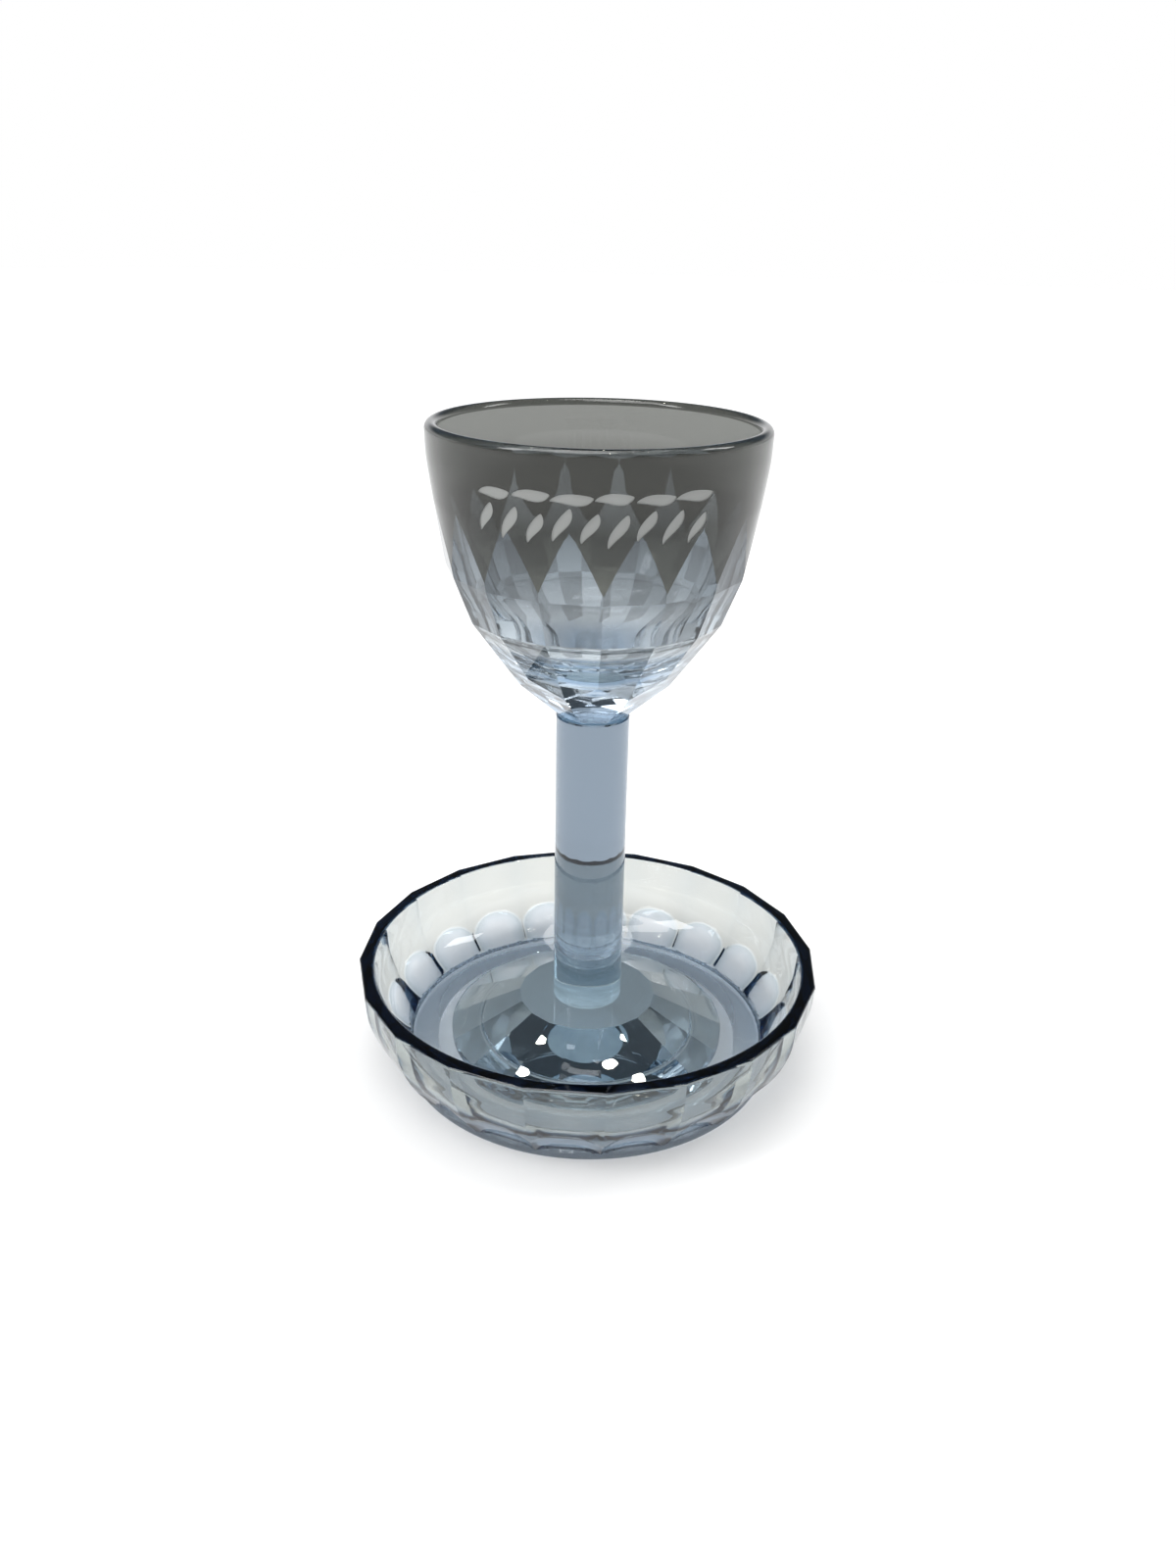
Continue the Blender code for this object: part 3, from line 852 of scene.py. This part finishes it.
class KIDDUSH_OT_cup(bpy.types.Operator):
    """Models the cup: faceted foot, round stem, faceted bowl, and the strokes on its front"""
    bl_idname = "kiddush.cup"
    bl_label = "Cup"

    def execute(self, context):
        size = context.scene.kiddush_cup
        top = BOWL_HIGH.z

        def tint(make):
            place = make.node('ShaderNodeTexCoord', {}, {}, "Object")
            height = make.node('ShaderNodeSeparateXYZ', {}, {0: place}, 2) / top
            # Painted light and shade by height on the plain glass: darker along the stem and the
            # band, lighter at the stem's lower end.
            plain = make.node('ShaderNodeValToRGB', {"stops": [
                (0.0, size.foot_tint), (FOOT_HIGH.z / top, size.foot_tint),
                (STEM_LOW.z / top, size.stem_foot_painted_light), (STEM_LIGHT / top, size.stem_painted_shade),
                (BOWL_LOW.z / top, size.stem_painted_shade),
                (UPPER_ROW[1] / top, size.arch_gap_painted_shade), (ARCHES[1] / top, size.arch_gap_painted_shade),
                (BAND_SHADE_TOP / top, size.band_painted_shade), (1.0, size.band_painted_shade)]}, {0: height})
            # Painted light and shade of the facets, row by row.
            facets = make.node('ShaderNodeValToRGB', {"stops": [
                (BOWL_LOW.z / top, size.base), (BASE_TOP / top, size.base),
                (LOWER_ROW[1] / top, size.pale), (MIDDLE_ROW[1] / top, size.middle),
                (UPPER_ROW[1] / top, size.arch_facet_painted_shade), (1.0, size.arch_facet_painted_shade)]}, {0: height})
            # Painted shade per facet.
            shade = SHADE_RANGE[0] - SHADE_RANGE[1] * make.attribute("facet_painted_shade")
            facets = make.node('ShaderNodeVectorMath', {"operation": 'SCALE'}, {
                0: facets, "Scale": shade})
            colour = make.mix_colour(make.attribute("ground"), plain, facets)
            # Painted shade along the rounded facet edges.
            colour = make.mix_colour(make.attribute("border") * BORDER_PAINTED_SHADE_COVER, colour,
                                     (*size.border, 1.0))
            return make.mix_colour(make.attribute("lining"), colour, (*size.lining, 1.0))

        def frosted(make):
            frost = make.node('ShaderNodeBsdfPrincipled', {}, {
                "Base Color": FROST_COLOUR, "Roughness": FROST_ROUGHNESS})
            return make.attribute("frosted") * FROST_COVER, frost

        bm = cup(size)
        layer = bm.faces.layers.float.new("frosted")
        for face in bm.faces:
            face[layer] = 0.0
        material = clear_glass("Cup_Glass", tint, size.depth_colour, size.depth_strength, frosted)
        piece = add_piece("Cup", bm, material, "cup_foot", "cup_stem", "cup_bowl",
                          slot="bowl_glass")
        add_cement(size)
        cut_strokes(piece, size)
        bm = bmesh.new()
        bm.from_mesh(piece.data)
        mark_creases(bm, CUP_CREASE)
        bm.to_mesh(piece.data)
        bm.free()
        return {'FINISHED'}


LIGHT_TARGET = (0.0, 0.0, 0.07)
SUN_POWER = 1.6
SUN_SPREAD = radians(40)
SUN_TIP = radians(18)
SUN_LEAN = radians(-12)
SOFT_LIGHTS = [
    ("Key_Left", (-0.75, -0.35, 0.85), (0.25, 0.5), 3.0),
    ("Key_Right", (0.80, 0.15, 0.80), (0.2, 0.4), 2.0),
    ("Top", (0.0, 0.1, 1.3), (0.5, 0.3), 2.5),
]
LAMPS = [
    (-0.383, 0.156, 1.14), (-0.405, 0.122, 1.135), (0.317, 0.125, 1.164), (0.300, 0.091, 1.166),
    (0.335, 0.080, 1.16), (-0.18, -0.70, 1.15), (0.12, -0.62, 1.20), (0.02, 0.55, 1.05),
]
LAMP_SIZE = (0.011, 0.017)
LAMP_POWER = 0.05
LAMP_COLOUR = (1.0, 0.97, 0.84)
CAMERA_PLACE = (-0.76 * MM, -265.44 * MM, 187.91 * MM)
CAMERA_PITCH = radians(90 - 24.08)
CAMERA_ROLL = radians(1.18)
CAMERA_LENS = 29.64
FLOOR_DROP = 0.15 * MM
FLOOR_SPREAD = 4.0
FLOOR_STEPS = 96
FLOOR_ROUGHNESS = 0.9
FLOOR_GLOSS = 0.2
FLOOR_GLOW_STRENGTH = 0.7
PAINTED_SHADOW_FADE_FROM = 0.04
PAINTED_SHADOW_FADE_TO = 0.085
SKY_STOPS = [(0.0, WHITE), (0.16, WHITE), (0.32, (0.08, 0.09, 0.10)), (1.0, (0.05, 0.055, 0.06))]


def add_camera(scene):
    """The photograph's viewpoint, found from the ellipses of the rims, the foot and the stem."""
    camera = bpy.data.cameras.new("Camera")
    camera.lens = CAMERA_LENS
    camera.sensor_width = 36.0
    camera.clip_start = 0.01
    holder = bpy.data.objects.new("Camera", camera)
    scene.collection.objects.link(holder)
    turned = Matrix.Rotation(CAMERA_PITCH, 4, 'X') @ Matrix.Rotation(CAMERA_ROLL, 4, 'Z')
    holder.matrix_world = Matrix.Translation(CAMERA_PLACE) @ turned
    scene.camera = holder


def add_floor(scene, look):
    """The pale table top, which gives less light of its own under the glass than around it: a
    painted shadow.
    """
    bm = bmesh.new()
    bmesh.ops.create_circle(bm, cap_ends=True, segments=FLOOR_STEPS, radius=FLOOR_SPREAD)
    bmesh.ops.translate(bm, verts=bm.verts, vec=(0.0, 0.0, -FLOOR_DROP))
    mesh = bpy.data.meshes.new("Floor")
    bm.to_mesh(mesh)
    bm.free()
    material = bpy.data.materials.new("Pale_Table")
    material.use_nodes = True
    make = NodeMaker(material.node_tree)
    place = make.node('ShaderNodeTexCoord', {}, {}, "Object")
    away = make.node('ShaderNodeVectorMath', {"operation": 'LENGTH'}, {0: place}, 1)
    # Painted shadow: the table's own light is low under the glass and rises to full beyond it.
    rise = make.node('ShaderNodeMapRange', {"interpolation_type": 'SMOOTHSTEP'}, {
        0: away, 1: PAINTED_SHADOW_FADE_FROM, 2: PAINTED_SHADOW_FADE_TO, 3: look.painted_shadow_glow, 4: 1.0})
    surface = make.node('ShaderNodeBsdfPrincipled', {}, {
        "Base Color": (*look.floor_colour, 1.0), "Roughness": FLOOR_ROUGHNESS,
        "Specular IOR Level": FLOOR_GLOSS,
        "Emission Color": rise, "Emission Strength": FLOOR_GLOW_STRENGTH})
    make.node('ShaderNodeOutputMaterial', {}, {"Surface": surface})
    mesh.materials.append(material)
    floor = bpy.data.objects.new("Floor", mesh)
    scene.collection.objects.link(floor)


def add_world(scene):
    """White around the horizon, dark overhead, so that clear glass keeps its dark edges."""
    world = bpy.data.worlds.new("Studio")
    world.use_nodes = True
    make = NodeMaker(world.node_tree)
    place = make.node('ShaderNodeTexCoord', {}, {}, "Generated")
    rise = make.node('ShaderNodeSeparateXYZ', {}, {0: place}, 2)
    sky = make.node('ShaderNodeValToRGB', {"stops": SKY_STOPS}, {0: rise})
    light = make.node('ShaderNodeBackground', {}, {"Color": sky, "Strength": 1.0})
    make.node('ShaderNodeOutputWorld', {}, {"Surface": light})
    scene.world = world


def add_light(scene, name, place, size, power, colour=WHITE, shape='RECTANGLE'):
    """A flat soft light, size metres across, that faces the middle of the cup."""
    lamp = bpy.data.lights.new(name, 'AREA')
    lamp.shape = shape
    lamp.size, lamp.size_y = size
    lamp.energy = power
    lamp.color = colour
    holder = bpy.data.objects.new(name, lamp)
    scene.collection.objects.link(holder)
    facing = (Vector(LIGHT_TARGET) - Vector(place)).to_track_quat('-Z', 'Y')
    holder.matrix_world = Matrix.Translation(place) @ facing.to_matrix().to_4x4()
    holder.visible_camera = False


def add_sun(scene, strength):
    """A very soft light from high up in front, the same all over the table."""
    lamp = bpy.data.lights.new("Soft_Sky", 'SUN')
    lamp.angle = SUN_SPREAD
    lamp.energy = strength
    holder = bpy.data.objects.new("Soft_Sky", lamp)
    scene.collection.objects.link(holder)
    tipped = Matrix.Rotation(SUN_TIP, 4, 'X')
    holder.matrix_world = tipped @ Matrix.Rotation(SUN_LEAN, 4, 'Y')


class KIDDUSH_OT_stage(bpy.types.Operator):
    """Sets the pale table, the studio light and the camera"""
    bl_idname = "kiddush.stage"
    bl_label = "Stage"

    def execute(self, context):
        scene = context.scene
        look = scene.kiddush_stage
        add_camera(scene)
        add_floor(scene, look)
        add_world(scene)
        add_sun(scene, SUN_POWER * look.key)
        for name, place, size, power in SOFT_LIGHTS:
            add_light(scene, name, place, size, power * look.key)
        for index, place in enumerate(LAMPS):
            add_light(scene, f"Lamp_{index}", place, LAMP_SIZE, LAMP_POWER * look.lamps,
                      LAMP_COLOUR, 'ELLIPSE')
        scene.view_settings.view_transform = 'Standard'
        scene.view_settings.look = 'None'
        scene.cycles.max_bounces = 32
        scene.cycles.transmission_bounces = 32
        scene.cycles.glossy_bounces = 24
        return {'FINISHED'}


class KIDDUSH_PT_panel(bpy.types.Panel):
    """Lists the steps that make the cup, and their sizes and colours"""
    bl_idname = "KIDDUSH_PT_panel"
    bl_label = "Kiddush Cup"
    bl_space_type = 'VIEW_3D'
    bl_region_type = 'UI'
    bl_category = "Kiddush Cup"

    def draw(self, context):
        steps = [("kiddush.stage", "kiddush_stage"), ("kiddush.saucer", "kiddush_saucer"),
                 ("kiddush.cup", "kiddush_cup")]
        for operator, group in steps:
            box = self.layout.box()
            settings = getattr(context.scene, group)
            for name in settings.bl_rna.properties.keys():
                if name not in ("rna_type", "name"):
                    box.prop(settings, name)
            box.operator(operator)


CLASSES = (SaucerSize, CupSize, StageLook, KIDDUSH_OT_stage, KIDDUSH_OT_saucer, KIDDUSH_OT_cup,
           KIDDUSH_PT_panel)


def register():
    for cls in CLASSES:
        bpy.utils.register_class(cls)
    bpy.types.Scene.kiddush_saucer = PointerProperty(type=SaucerSize)
    bpy.types.Scene.kiddush_cup = PointerProperty(type=CupSize)
    bpy.types.Scene.kiddush_stage = PointerProperty(type=StageLook)


def unregister():
    del bpy.types.Scene.kiddush_stage
    del bpy.types.Scene.kiddush_cup
    del bpy.types.Scene.kiddush_saucer
    for cls in reversed(CLASSES):
        bpy.utils.unregister_class(cls)


def main():
    register()
    bpy.ops.kiddush.stage()
    bpy.ops.kiddush.saucer()
    bpy.ops.kiddush.cup()


if __name__ == "__main__":
    main()
